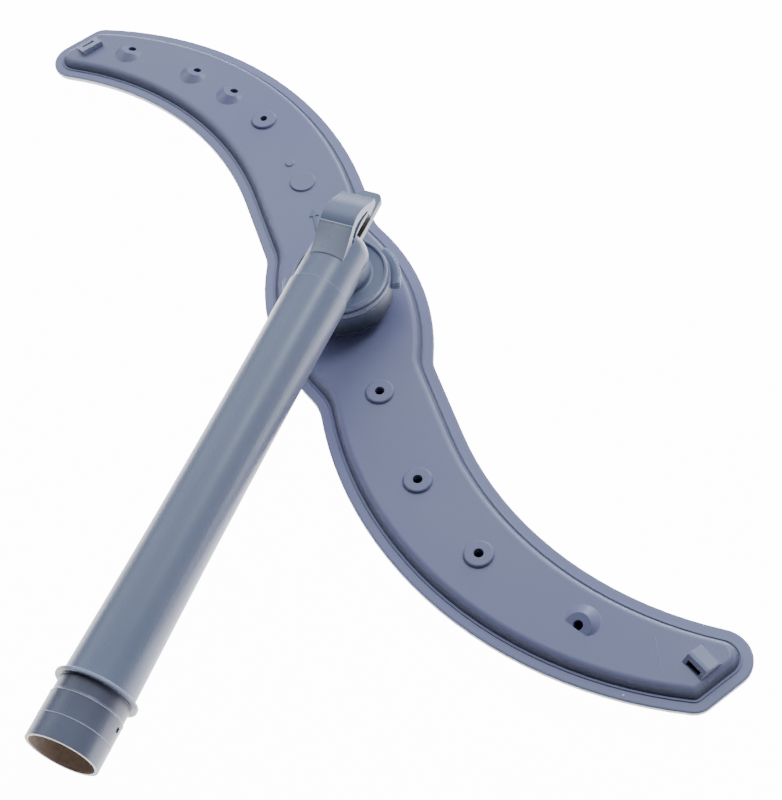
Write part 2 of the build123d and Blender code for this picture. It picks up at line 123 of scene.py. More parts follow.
def number(name, description, default):
    """Property that is a plain number."""
    return FloatProperty(name=name, description=description, default=default)


class PlasticFinish(bpy.types.PropertyGroup):
    """Colours and surface of the moulded plastics, with their painted highlights, painted light and painted
    shade.
    """

    arm_colour: colour("Arm", "Base colour of both arm shells", (0.235, 0.224, 0.4))
    arm_tint: colour("Arm tint", "Colour that drifts over the arm", (0.25, 0.246, 0.385))
    pipe_colour: colour("Pipe", "Base colour of the feed pipe", (0.218, 0.235, 0.345))
    pipe_tint: colour("Pipe tint", "Colour that drifts along the pipe", (0.23, 0.24, 0.345))
    ring_colour: colour("Ring", "Base colour of the locking ring", (0.17, 0.2, 0.33))
    ring_tint: colour("Ring tint", "Colour that drifts over the ring", (0.18, 0.21, 0.33))
    washer_colour: colour("Washer", "Base colour of the bearing washer", (0.6, 0.6, 0.57))
    washer_tint: colour("Washer tint", "Colour that drifts over the washer", (0.5, 0.49, 0.45))
    # Painted light: the clip's front face is painted paler where light falls on it.
    brightened_face_colour: colour("Brightened clip", "Base colour of the clip's rubbed front face", (0.42, 0.42, 0.53))
    brightened_face_tint: colour("Brightened clip tint", "Colour that drifts over that face", (0.38, 0.39, 0.49))
    # Painted highlight along sharp edges, the nozzles' rims, the docking flange's rim and the grips' knurled
    # rims.
    edge_highlight_colour: colour("Edges", "Paler colour of handled edges", (0.5, 0.54, 0.7))
    # Painted highlight: the pale colour of the ribs round the docking end and of the line along the clip's
    # ridge.
    highlight_line_colour: colour("Marks", "Colour of pale moulding marks", (0.62, 0.66, 0.82))
    faint_colour: colour("Flow lines", "Colour of faint flow lines", (0.46, 0.48, 0.68))
    # Specks of flash, and the painted highlight on the grips' knurls.
    fleck_and_knurl_highlight_colour: colour("Fleck", "Colour of specks of flash", (0.85, 0.86, 0.9))
    # Painted light: the outer faces of the flanges are painted white for the light that the floor throws on
    # them.
    painted_rim_light_colour: colour("Weld edge", "Whitened plastic of the trimmed weld edge", (0.95, 0.95, 0.98))
    flange_colour: colour("Flange", "Paler plastic on the top of the flange", (0.33, 0.32, 0.54))
    # Painted shade on the wall round the panel.
    painted_wall_shade_colour: colour("Foot", "Duller plastic on the wall round the panel", (0.145, 0.15, 0.215))
    # Painted light: the inside of the grips is painted paler against the shade that falls in them.
    painted_grip_light_colour: colour("Grips", "Base colour inside the ring's two grips", (0.27, 0.29, 0.42))
    # Painted shade low on the ring's wall.
    shade_colour: colour("Ring wall", "Limescale and grease low on the ring's wall", (0.012, 0.014, 0.022))
    # Tan film in the mouth, painted near-white as well for the light inside it.
    stain_and_painted_light_colour: colour("Stain", "Tan film that water leaves inside the mouth", (0.96, 0.77, 0.61))
    # Painted shade on the docking end beyond the flange.
    painted_dock_shade_colour: colour("Docking end", "Duller plastic beyond the docking flange", (0.075, 0.06, 0.085))
    # Brownish deposit in the clip's channel, painted darker as well for the shade in it.
    channel_deposit_and_shade_colour: colour("Channel", "Brownish deposit in the clip's channel", (0.07, 0.055, 0.045))
    # Painted shade: a dark strip in the weld groove down the clip's face.
    weld_groove_shade_colour: colour("Clip weld line", "Dark weld line down the clip's face", (0.05, 0.052, 0.08))
    roughness: FloatProperty(
        name="Roughness",
        description="Roughness of the satin surface",
        default=0.36,
        min=0.0,
        max=1.0,
        subtype="FACTOR",
    )
    nozzle_edge: number("Nozzle edges", "How strongly the edges of nozzles and wedges are paled", 14.0)
    edge_radius: length("Edge radius", "Rounding that catches light on sharp edges", 0.35 * MM)
    grain_height: length("Grain", "Depth of the fine surface grain", 0.02 * MM)
    grain_strength: number("Grain strength", "How much of the grain's depth is shown", 0.35)


class MarkSizes(bpy.types.PropertyGroup):
    """Small moulded marks on the arm, the ring and the pipe."""

    arrow_tip: spot("Arrow tip", "Tip of the arrow", (-56.1, 21.1))
    arrow_heading: angle("Arrow heading", "Direction that the arrow points in, from the blades", 155)
    arrow_length: length("Arrow length", "Whole length of the arrow", 13.8 * MM)
    arrow_head: length("Arrow head", "Length and width of the arrow's head", 4.8 * MM)
    arrow_shaft: length("Arrow shaft", "Width of the arrow's shaft", 1.6 * MM)
    arrow_height: length("Arrow height", "Height of the arrow over the panel", 0.45 * MM)
    flow_start: spot("Flow line start", "Start of the flow line near the tip", (203.6, -5.8))
    flow_end: spot("Flow line end", "End of the flow line near the tip", (216.6, -13.9))
    flow_width: length("Flow line width", "Width of the flow line at its start", 0.35 * MM)
    flow_height: length("Flow line height", "Height of the flow line over the panel", 0.05 * MM)
    fleck_place: spot("Fleck", "Speck of flash on the flange", (212.4, -28.9))
    fleck_radius: length("Fleck size", "Radius of the speck on the flange", 0.6 * MM)
    pip_place: point("Pip", "Pip on the hub's cap", (16.8 * MM, -13.0 * MM, 32.7 * MM))
    pip_radius: length("Pip size", "Radius of the pip on the hub's cap", 0.5 * MM)
    outer_rib: along("Outer rib", "Fine rib round the docking end, near the mouth", -226.0 * MM)
    inner_rib: along("Inner rib", "Fine rib round the docking end, near the flange", -217.0 * MM)
    rib_radius: length("Rib size", "Radius of the ribs' own section", 0.2 * MM)
    grip_radius: length("Grip radius", "Distance of the knurls from the hub's axis", 25.2 * MM)
    grip_angle: angle("Grip angle", "Angle that a grip spans", 48)
    grip_direction: angle("Grip direction", "Direction of the first grip", 40.1)
    knurl_count: IntProperty(name="Knurls", description="Knurls on a grip's rim", default=26, min=1)
    knurl_radius: length("Knurl size", "Radius of a knurl", 0.36 * MM)
    knurl_drop: length("Knurl drop", "Depth of the knurls below the ring's top", 0.15 * MM)


class SaddleSizes(bpy.types.PropertyGroup):
    """Saddle that carries the basket clip's front face down onto the round pipe."""

    half_width: length("Half width", "Half the width across the pipe", 7.53 * MM)
    front: along("Front", "Place of the front edge along the pipe", -7.9 * MM)
    ridge: along("Ridge", "Place of the clip's ridge along the pipe", 5.0 * MM)
    ridge_level: length("Ridge level", "Height of the clip's ridge", 61.84 * MM)
    root_place: along("Root", "Where the solid clip's own face starts", -5.5 * MM)
    root_level: length("Root level", "Height at which the solid clip's own face starts", 54.0 * MM)
    pipe_radius: length("Pipe radius", "Outside radius of the pipe under the saddle", 12.55 * MM)
    lip: length("Lip", "Height of the front edge over the pipe", 0.3 * MM)
    lip_run: number("Lip run", "Share of the face over which the lip rises", 0.02)
    hollow: number("Hollow", "Above 1, the face is hollow along its length", 1.12)
    sink: length("Sink", "Depth that the saddle reaches into the clip and the pipe", 0.5 * MM)
    seam_start: number("Weld start", "Share of the face at which the weld line starts", 0.3)
    seam_depth: length("Weld depth", "Depth of the weld line down the face", 0.22 * MM)
    seam_width: length("Weld width", "Half the width of the weld line", 0.4 * MM)
    seam_side: length("Weld side", "How far the weld line stands to the side at the front edge", 0.6 * MM)
    seam_lean: length("Weld lean", "How much further to the side it stands at the ridge", 0.7 * MM)
    trace_start: number("Trace start", "Share of the face at which the dark trace starts", 0.34)
    trace_end: number("Trace end", "Share of the face at which the dark trace ends", 0.97)
    trace_height: length("Trace height", "Height of the dark trace in the weld line", 0.03 * MM)
    ridge_width: length("Ridge width", "Width of the pale line along the clip's ridge", 0.7 * MM)
    ridge_height: length("Ridge height", "Height of the pale line over the ridge", 0.05 * MM)


class StudioSettings(bpy.types.PropertyGroup):
    """Floor, light and camera."""

    floor_colour: colour("Floor", "Colour of the pale floor", (0.9, 0.9, 0.9))
    light_colour: colour("Light", "Colour of the softboxes and the surroundings", (0.78, 0.9, 1.0))
    floor_size: length("Floor size", "Side of the floor", 12.0)
    floor_gap: length("Floor gap", "Gap that keeps the floor clear of the part", 0.05 * MM)
    floor_glow: number("Floor glow", "Light that the floor throws on the part", 1.5)
    floor_mirror: number("Floor mirror", "Brightness of the floor in the part's gloss", 5.0)
    white: number("White", "Brightness of the floor and the surroundings to the camera", 14.0)
    glow_start: length("Glow start", "Distance at which the floor's light starts to fade", 0.25)
    glow_reach: length("Glow reach", "Distance at which the floor's light has faded", 0.6)
    top_power: number("Top light", "Power of the overhead softbox, in watts", 4.4)
    side_power: number("Side light", "Power of the right-hand softbox, in watts", 6.5)
    left_power: number("Left light", "Power of the left-hand softbox, in watts", 4.5)
    back_power: number("Back light", "Power of the low softbox behind the part, in watts", 5.0)
    bright_side: FloatVectorProperty(
        name="Bright side",
        description="Direction that the surroundings are brightest in",
        default=(0.115, 0.67, 0.733),
    )
    bright_start: number("Bright start", "Cosine to the bright side at which it starts to brighten", 0.3)
    bright_full: number("Bright full", "Cosine to the bright side at which it is brightest", 0.98)
    bright_strength: number("Bright", "Strength of the surroundings on the bright side", 0.7)
    dark_strength: number("Dark", "Strength of the surroundings away from it", 0.02)
    camera_place: point("Camera", "Place of the camera", (0.245427, -0.379901, 0.557322))
    camera_turn: FloatVectorProperty(
        name="Camera angle",
        description="Direction of the camera, as turns about X, Y and Z",
        default=(radians(35.752), radians(6.097), radians(23.003)),
        subtype="EULER",
    )
    focal_length: number("Focal length", "Lens, in millimetres", 73.35)
    sensor_width: number("Sensor width", "Width of the sensor, in millimetres", 36.0)


def finishes():
    """The plastics' colours and surface in this scene."""
    return bpy.context.scene.spray_arm_finish


def new_group(name, inputs, outputs):
    """Shader node group with its sockets. Returns it with its input and output nodes."""
    tree = bpy.data.node_groups.new(name, "ShaderNodeTree")
    for socket, kind, value in inputs:
        made = tree.interface.new_socket(name=socket, in_out="INPUT", socket_type=kind)
        made.default_value = value
    for socket, kind in outputs:
        tree.interface.new_socket(name=socket, in_out="OUTPUT", socket_type=kind)
    return tree, tree.nodes.new("NodeGroupInput"), tree.nodes.new("NodeGroupOutput")


def feed(tree, socket, given):
    """Links an output to a socket, or sets the socket to a constant."""
    if isinstance(given, bpy.types.NodeSocket):
        tree.links.new(given, socket)
    else:
        socket.default_value = given


def math_node(tree, operation, *values, clamp=False):
    """Math node fed by sockets or numbers. Returns its output."""
    node = tree.nodes.new("ShaderNodeMath")
    node.operation = operation
    node.use_clamp = clamp
    for socket, value in zip(node.inputs, values):
        feed(tree, socket, value)
    return node.outputs[0]


def multiply(tree, first, *others):
    """Product of several masks. Returns its output."""
    for other in others:
        first = math_node(tree, "MULTIPLY", first, other)
    return first


def ramp(tree, value, low, high, start, end):
    """Smooth step of a value between two marks, from one result to another. Returns its output."""
    node = tree.nodes.new("ShaderNodeMapRange")
    node.interpolation_type = "SMOOTHSTEP"
    settings = {"Value": value, "From Min": low, "From Max": high, "To Min": start, "To Max": end}
    for socket, given in settings.items():
        feed(tree, node.inputs[socket], given)
    return node.outputs["Result"]


def band(tree, value, low, high, blur):
    """Mask that is 1 between two marks of a value and fades outside them. Returns its output."""
    rising = ramp(tree, value, low - blur, low, 0.0, 1.0)
    return multiply(tree, rising, ramp(tree, value, high, high + blur, 1.0, 0.0))


def noise(tree, place, scale, detail=3.0, roughness=0.55):
    """Noise texture on the given coordinates. Returns its value."""
    node = tree.nodes.new("ShaderNodeTexNoise")
    settings = {"Vector": place, "Scale": scale, "Detail": detail, "Roughness": roughness}
    for socket, given in settings.items():
        feed(tree, node.inputs[socket], given)
    return node.outputs[0]


def mixed(tree, factor, first, second):
    """Mix of two colours. Returns its output."""
    node = tree.nodes.new("ShaderNodeMix")
    node.data_type = "RGBA"
    for socket, given in {"Factor": factor, "A": first, "B": second}.items():
        feed(tree, node.inputs[socket], given)
    return node.outputs["Result"]


def surface_place(tree):
    """Place on the piece, in the part's frame. Returns the output."""
    return tree.nodes.new("ShaderNodeTexCoord").outputs["Object"]


def surface_normal(tree):
    """Direction that the surface faces. Returns the output."""
    return tree.nodes.new("ShaderNodeNewGeometry").outputs["Normal"]


def split(tree, vector):
    """Splits a vector. Returns the outputs X, Y and Z."""
    node = tree.nodes.new("ShaderNodeSeparateXYZ")
    tree.links.new(vector, node.inputs[0])
    return node.outputs


def vector_node(tree, operation, *vectors):
    """Vector math node that gives a number. Returns its output."""
    node = tree.nodes.new("ShaderNodeVectorMath")
    node.operation = operation
    for socket, vector in zip(node.inputs, vectors):
        feed(tree, socket, vector)
    return node.outputs["Value"]


def distance_from_axis(tree, *offsets):
    """Distance from an axis, from the two offsets to it. Returns its output."""
    squares = [math_node(tree, "POWER", offset, 2.0) for offset in offsets]
    return math_node(tree, "SQRT", math_node(tree, "ADD", *squares))


def drift_group():
    """Slow drift between two colours, as pigment has in a moulding, with a finer mottle."""
    tree, start, end = new_group(
        "pigment_drift",
        [
            ("Base", "NodeSocketColor", (0.2, 0.2, 0.2, 1)),
            ("Tint", "NodeSocketColor", (0.3, 0.3, 0.3, 1)),
            ("Scale", "NodeSocketFloat", 20.0),
            ("Mottle", "NodeSocketFloat", 0.06),
        ],
        [("Color", "NodeSocketColor")],
    )
    place = surface_place(tree)
    slow = noise(tree, place, start.outputs["Scale"], detail=2.0)
    fine = noise(tree, place, 900.0, detail=4.0, roughness=0.7)
    spread = math_node(tree, "MULTIPLY_ADD", slow, 3.0, -1.0, clamp=True)
    drifted = mixed(tree, spread, start.outputs["Base"], start.outputs["Tint"])
    mottle = multiply(tree, math_node(tree, "SUBTRACT", fine, 0.5), start.outputs["Mottle"])
    value = tree.nodes.new("ShaderNodeHueSaturation")
    feed(tree, value.inputs["Value"], math_node(tree, "ADD", mottle, 1.0))
    feed(tree, value.inputs["Color"], drifted)
    feed(tree, end.inputs["Color"], value.outputs["Color"])


def edge_group():
    """Edges: a mask where the surface turns sharply, for a painted highlight, and a normal that rounds them.
    """
    tree, start, end = new_group(
        "worn_edge",
        [("Radius", "NodeSocketFloat", 0.4 * MM), ("Gain", "NodeSocketFloat", 3.0)],
        [("Mask", "NodeSocketFloat"), ("Normal", "NodeSocketVector")],
    )
    bevel = tree.nodes.new("ShaderNodeBevel")
    bevel.samples = 6
    feed(tree, bevel.inputs["Radius"], start.outputs["Radius"])
    likeness = vector_node(tree, "DOT_PRODUCT", bevel.outputs["Normal"], surface_normal(tree))
    turned = math_node(tree, "SUBTRACT", 1.0, likeness)
    feed(tree, end.inputs["Mask"], math_node(tree, "MULTIPLY", turned, start.outputs["Gain"], clamp=True))
    feed(tree, end.inputs["Normal"], bevel.outputs["Normal"])


def grain_group():
    """Fine spark-eroded grain of the mould, with slow patches where it is more polished."""
    tree, start, end = new_group(
        "mould_grain",
        [("Scale", "NodeSocketFloat", 1400.0), ("Roughness", "NodeSocketFloat", 0.4)],
        [("Roughness", "NodeSocketFloat"), ("Height", "NodeSocketFloat")],
    )
    place = surface_place(tree)
    fine = noise(tree, place, start.outputs["Scale"], detail=3.0, roughness=0.6)
    patch = math_node(tree, "SUBTRACT", noise(tree, place, 45.0, detail=2.0), 0.5)
    varied = math_node(tree, "MULTIPLY_ADD", patch, 0.25, start.outputs["Roughness"])
    feed(tree, end.inputs["Roughness"], varied)
    feed(tree, end.inputs["Height"], fine)


def place_group(tree, name, **values):
    """Puts a shared node group into a material with its own values."""
    node = tree.nodes.new("ShaderNodeGroup")
    node.node_tree = bpy.data.node_groups[name]
    node.name = name
    for socket, value in values.items():
        node.inputs[socket].default_value = value
    return node


def plastic(name, base, tint, drift_scale=18.0, mottle=0.07, edge_gain=2.2):
    """Satin moulded plastic with pigment drift, grain, and a painted highlight along its sharp edges."""
    finish = finishes()
    material = bpy.data.materials.new(name)
    material.use_nodes = True
    tree = material.node_tree
    shader = tree.nodes["Principled BSDF"]
    pigment = {"Base": (*base, 1), "Tint": (*tint, 1), "Scale": drift_scale, "Mottle": mottle}
    drift = place_group(tree, "pigment_drift", **pigment)
    edge = place_group(tree, "worn_edge", Radius=finish.edge_radius, Gain=edge_gain)
    grain = place_group(tree, "mould_grain", Roughness=finish.roughness)
    # Painted highlight: a paler colour mixed in where the surface turns sharply.
    sheened = mixed(tree, edge.outputs["Mask"], drift.outputs["Color"], (*finish.edge_highlight_colour, 1))
    bump = tree.nodes.new("ShaderNodeBump")
    bump.inputs["Strength"].default_value = finish.grain_strength
    bump.inputs["Distance"].default_value = finish.grain_height
    feed(tree, bump.inputs["Height"], grain.outputs["Height"])
    feed(tree, bump.inputs["Normal"], edge.outputs["Normal"])
    feed(tree, shader.inputs["Base Color"], sheened)
    feed(tree, shader.inputs["Roughness"], grain.outputs["Roughness"])
    feed(tree, shader.inputs["Normal"], bump.outputs["Normal"])
    return material


def lay_over(material, mask, shade):
    """Mixes a colour over what feeds a material's base colour, where the mask says."""
    tree = material.node_tree
    socket = tree.nodes["Principled BSDF"].inputs["Base Color"]
    feed(tree, socket, mixed(tree, mask, socket.links[0].from_socket, (*shade, 1)))


def roughen(material, mask, value):
    """Mixes a roughness over what feeds a material's roughness, where the mask says."""
    tree = material.node_tree
    socket = tree.nodes["Principled BSDF"].inputs["Roughness"]
    feed(tree, socket, ramp(tree, mask, 0.0, 1.0, socket.links[0].from_socket, value))


def arm_wear(material, finish):
    """Paints light on the flange's outer faces, pales the flange's top, paints highlights on the nozzles'
    edges, and paints shade on the panel's wall.
    """
    tree = material.node_tree
    place = surface_place(tree)
    level = split(tree, place)["Z"]
    facing_up = split(tree, surface_normal(tree))["Z"]

    # Painted light: the upright outer faces of the flanges are painted white.
    upright = ramp(tree, facing_up, 0.35, 0.8, 1.0, 0.0)
    edge = band(tree, level, WELD_BOTTOM, FLANGE_LEVEL - 0.1 * MM, 0.2 * MM)
    lay_over(material, multiply(tree, upright, edge), finish.painted_rim_light_colour)

    flat = ramp(tree, facing_up, 0.93, 0.99, 0.0, 0.45)
    top = band(tree, level, FLANGE_LEVEL - 0.1 * MM, FLANGE_LEVEL + 0.1 * MM, 0.1 * MM)
    lay_over(material, multiply(tree, flat, top), finish.flange_colour)

    # Painted shade on the leaning wall between the flange and the panel.
    leaning = ramp(tree, facing_up, 0.5, 0.95, 1.0, 0.0)
    between = band(tree, level, FLANGE_LEVEL + 0.02 * MM, PANEL_LEVEL - 0.2 * MM, 0.05 * MM)
    wall = multiply(tree, leaning, between)
    mottled = ramp(tree, noise(tree, place, 120.0), 0.2, 0.8, 0.7, 0.85)
    lay_over(material, multiply(tree, wall, mottled), finish.painted_wall_shade_colour)
    roughen(material, wall, 0.95)

    # Painted highlight on the edges of the nozzles and wedges that stand on the panel.
    raised = ramp(tree, level, PANEL_LEVEL + 0.1 * MM, PANEL_LEVEL + 0.4 * MM, 0.0, finish.nozzle_edge)
    rounded = math_node(tree, "MULTIPLY", tree.nodes["worn_edge"].outputs["Mask"], raised, clamp=True)
    lay_over(material, rounded, finish.edge_highlight_colour)


def pipe_wear(material, finish):
    """Adds the film in the mouth with painted light over it, the deposit with painted shade in the clip's
    channel, painted shade on the docking end and a painted highlight on the docking flange's rim.
    """
    tree = material.node_tree
    place = surface_place(tree)
    spots = split(tree, place)
    rise = math_node(tree, "SUBTRACT", spots["Z"], PIPE_LEVEL)
    radius = distance_from_axis(tree, spots["X"], rise)
    at_dock = ramp(tree, spots["Y"], PLAIN_PIPE_START - 10 * MM, PLAIN_PIPE_START, 1.0, 0.0)

    # The tan film in the mouth, painted near-white as well for the light inside it.
    inside = ramp(tree, radius, MOUTH_RADIUS, MOUTH_RADIUS + 0.1 * MM, 1.0, 0.0)
    patches = ramp(tree, noise(tree, place, 160.0, detail=4.0), 0.3, 0.62, 0.78, 1.0)
    lay_over(material, multiply(tree, inside, at_dock, patches), finish.stain_and_painted_light_colour)

    # Deposit in the clip's channel, darkened as well as painted shade.
    sides = [band(tree, spots[axis], low * MM, high * MM, 0.05 * MM) for axis, low, high in CHANNEL]
    lay_over(material, multiply(tree, *sides), finish.channel_deposit_and_shade_colour)

    # Painted shade on the docking end beyond the flange.
    shaded = ramp(tree, spots["Y"], DOCK_PLACE - DOCK_LENGTH, DOCK_PLACE, 0.4, 0.66)
    beyond = ramp(tree, spots["Y"], DOCK_PLACE, DOCK_PLACE + 0.2 * MM, 1.0, 0.0)
    lay_over(material, multiply(tree, shaded, beyond), finish.painted_dock_shade_colour)

    # Painted highlight on the docking flange's rim.
    flange = ramp(tree, radius, DOCK_RADIUS + 0.5 * MM, DOCK_RADIUS + 1.5 * MM, 0.0, 0.6)
    lay_over(material, multiply(tree, flange, at_dock), finish.edge_highlight_colour)


def ring_wear(material, finish):
    """Paints shade on the ring's wall towards its foot, paints light inside its two grips and paints
    highlights on their knurled rims.
    """
    tree = material.node_tree
    place = surface_place(tree)
    spots = split(tree, place)
    radius = distance_from_axis(tree, spots["X"], spots["Y"])
    wall_edge = RING_RADIUS + 0.1 * MM

    # Painted shade, darker towards the foot of the ring's wall.
    foot = ramp(tree, spots["Z"], RING_BOTTOM + 2.0 * MM, RING_TOP + 1.0 * MM, 1.0, 0.6)
    on_wall = ramp(tree, radius, wall_edge, RING_RADIUS + 0.4 * MM, 1.0, 0.0)
    mottled = ramp(tree, noise(tree, place, 260.0), 0.2, 0.8, 0.9, 1.0)
    lay_over(material, multiply(tree, foot, on_wall, mottled), finish.shade_colour)

    # Painted light inside the grips.
    grips = ramp(tree, radius, wall_edge, RING_RADIUS + 0.5 * MM, 0.0, 1.0)
    lay_over(material, grips, finish.painted_grip_light_colour)
    # Painted highlight on the grips' knurled rims.
    rims = ramp(tree, radius, RING_RADIUS + 3.0 * MM, RING_RADIUS + 3.6 * MM, 0.0, 0.85)
    lay_over(material, rims, finish.edge_highlight_colour)


def dress(node, material):
    """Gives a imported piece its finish."""
    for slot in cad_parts[node].material_slots:
        slot.material = material


class SPRAYARM_OT_groups(bpy.types.Operator):
    """Build the shader node groups that the plastics share"""

    bl_idname = "sprayarm.groups"
    bl_label = "Build Shared Surface Effects"

    def execute(self, context):
        drift_group()
        edge_group()
        grain_group()
        return {"FINISHED"}


class SPRAYARM_OT_arm(bpy.types.Operator):
    """Finish both shells of the spray arm"""

    bl_idname = "sprayarm.arm"
    bl_label = "Finish Arm Shells"

    def execute(self, context):
        finish = finishes()
        shell = plastic("arm_plastic", finish.arm_colour, finish.arm_tint, drift_scale=14.0, edge_gain=0.3)
        arm_wear(shell, finish)
        dress("arm_upper_shell", shell)
        dress("arm_lower_shell", shell)
        return {"FINISHED"}


class SPRAYARM_OT_pipe(bpy.types.Operator):
    """Finish the feed pipe with its hub cap and clip"""

    bl_idname = "sprayarm.pipe"
    bl_label = "Finish Feed Pipe"

    def execute(self, context):
        finish = finishes()
        pipe = plastic("pipe_plastic", finish.pipe_colour, finish.pipe_tint, drift_scale=22.0, edge_gain=6.0)
        pipe_wear(pipe, finish)
        dress("feed_pipe", pipe)
        return {"FINISHED"}


class SPRAYARM_OT_ring(bpy.types.Operator):
    """Finish the locking ring and the bearing washer"""

    bl_idname = "sprayarm.ring"
    bl_label = "Finish Locking Ring"

    def execute(self, context):
        finish = finishes()
        ring = plastic("ring_plastic", finish.ring_colour, finish.ring_tint)
        ring_wear(ring, finish)
        dress("locking_ring", ring)
        dress("bearing_washer", plastic("washer_plastic", finish.washer_colour, finish.washer_tint))
        return {"FINISHED"}


def ride_mesh(name, shape, body, material):
    """Turns a bmesh into a piece that rides on a body."""
    mesh = bpy.data.meshes.new(name)
    shape.to_mesh(mesh)
    shape.free()
    mesh.materials.append(material)
    piece = bpy.data.objects.new(name, mesh)
    bpy.context.scene.collection.objects.link(piece)
    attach(piece, body)


def join_rows(shape, before, after):
    """Closed belt of faces between two loops of as many points."""
    count = len(before)
    faces = []
    for i in range(count):
        j = (i + 1) % count
        faces.append(shape.faces.new((before[i], before[j], after[j], after[i])))
    return faces


def low_strip(name, line, width, height, material):
    """Thin raised strip on the pipe's clip, along points that each come with the way across."""
    shape = bmesh.new()
    rows = []
    lift, sink = Vector((0, 0, height)), Vector((0, 0, -3 * height))
    for place, across in line:
        side = across * width / 2
        top = side * 0.7
        corners = (place - side + sink, place - top + lift, place + top + lift, place + side + sink)
        rows.append([shape.verts.new(corner) for corner in corners])
    for before, after in zip(rows, rows[1:]):
        join_rows(shape, before, after)
    shape.faces.new(rows[0])
    shape.faces.new(reversed(rows[-1]))
    bmesh.ops.recalc_face_normals(shape, faces=shape.faces)
    ride_mesh(name, shape, "pipe", material)


def fade(value, run):
    """Rises from 0 to 1 over a run, and stays there."""
    return min(1.0, max(0.0, value / run))


def weld_place(sizes, share):
    """Place of the weld line across the pipe, at a share of the clip's face."""
    return -(sizes.seam_side + sizes.seam_lean * share)


def saddle_levels(sizes, x, y):
    """Top and bottom of the saddle at a place in plan."""
    share = (y - sizes.front) / (sizes.ridge - sizes.front)
    round_top = PIPE_LEVEL + (sizes.pipe_radius**2 - x * x) ** 0.5
    low = round_top + sizes.lip * min(1.0, share / sizes.lip_run)
    top = low + (sizes.ridge_level - low) * share**sizes.hollow
    depth = sizes.seam_depth * max(0.0, 1 - abs(x - weld_place(sizes, share)) / sizes.seam_width)
    top -= depth * fade(share - sizes.seam_start, 0.1) * fade(1 - share, 0.05)
    slope = (sizes.ridge_level - sizes.root_level) / (sizes.ridge - sizes.root_place)
    clip_face = sizes.root_level + slope * (y - sizes.root_place)
    return top, max(round_top, min(clip_face, sizes.ridge_level)) - sizes.sink


def saddle_mesh(sizes, xs, ys):
    """Closed block whose top is the saddle's face, on a grid of places in plan."""
    shape = bmesh.new()
    tops, bottoms = [], []
    for y in ys:
        levels = [saddle_levels(sizes, x, y) for x in xs]
        tops.append([shape.verts.new((x, y, top)) for x, (top, bottom) in zip(xs, levels)])
        bottoms.append([shape.verts.new((x, y, bottom)) for x, (top, bottom) in zip(xs, levels)])
    for j in range(len(ys) - 1):
        for i in range(len(xs) - 1):
            face = shape.faces.new((tops[j][i], tops[j][i + 1], tops[j + 1][i + 1], tops[j + 1][i]))
            face.smooth = True
            shape.faces.new((bottoms[j][i], bottoms[j + 1][i], bottoms[j + 1][i + 1], bottoms[j][i + 1]))
        for i in (0, -1):
            shape.faces.new((tops[j][i], tops[j + 1][i], bottoms[j + 1][i], bottoms[j][i]))
    for j in (0, -1):
        for i in range(len(xs) - 1):
            shape.faces.new((tops[j][i], tops[j][i + 1], bottoms[j][i + 1], bottoms[j][i]))
    bmesh.ops.recalc_face_normals(shape, faces=shape.faces)
    for edge in shape.edges:
        edge.smooth = all(face.smooth for face in edge.link_faces)
    return shape


class SPRAYARM_OT_saddle(bpy.types.Operator):
    """Carry the clip's front face down onto the round pipe"""

    bl_idname = "sprayarm.saddle"
    bl_label = "Add Clip Saddle"

    def execute(self, context):
        sizes = context.scene.spray_arm_saddle
        finish = finishes()
        columns, rows = 76, 44
        run = sizes.ridge - sizes.front
        # Above 1, the rows stand closer at the front edge, where the face meets the round pipe
        crowding = 1.3
        xs = [sizes.half_width * (2 * i / columns - 1) for i in range(columns + 1)]
        ys = [sizes.front + run * (j / rows) ** crowding for j in range(rows + 1)]
        # The clip's front face is painted paler, as painted light.
        brightened = plastic("rubbed_clip", finish.brightened_face_colour, finish.brightened_face_tint, 90.0, mottle=0.12, edge_gain=0.8)
        ride_mesh("clip_saddle", saddle_mesh(sizes, xs, ys), "pipe", brightened)

        pale = plastic("pale_edge", finish.highlight_line_colour, finish.highlight_line_colour, edge_gain=0.0)
        # Painted highlight: a pale strip along the clip's ridge.
        ridge = [(Vector((x, sizes.ridge, sizes.ridge_level)), Vector((0, 1, 0))) for x in xs]
        low_strip("clip_ridge_line", ridge, sizes.ridge_width, sizes.ridge_height, pale)

        # Painted shade: a dark strip laid in the weld groove.
        dark = plastic("weld_line", finish.weld_groove_shade_colour, finish.weld_groove_shade_colour, edge_gain=0.0)
        trace = []
        for j in range(rows + 1):
            share = sizes.trace_start + (sizes.trace_end - sizes.trace_start) * j / rows
            x, y = weld_place(sizes, share), sizes.front + run * share
            trace.append((Vector((x, y, saddle_levels(sizes, x, y)[0])), Vector((1, 0, 0))))
        low_strip("clip_weld_line", trace, sizes.seam_width, sizes.trace_height, dark)
        return {"FINISHED"}


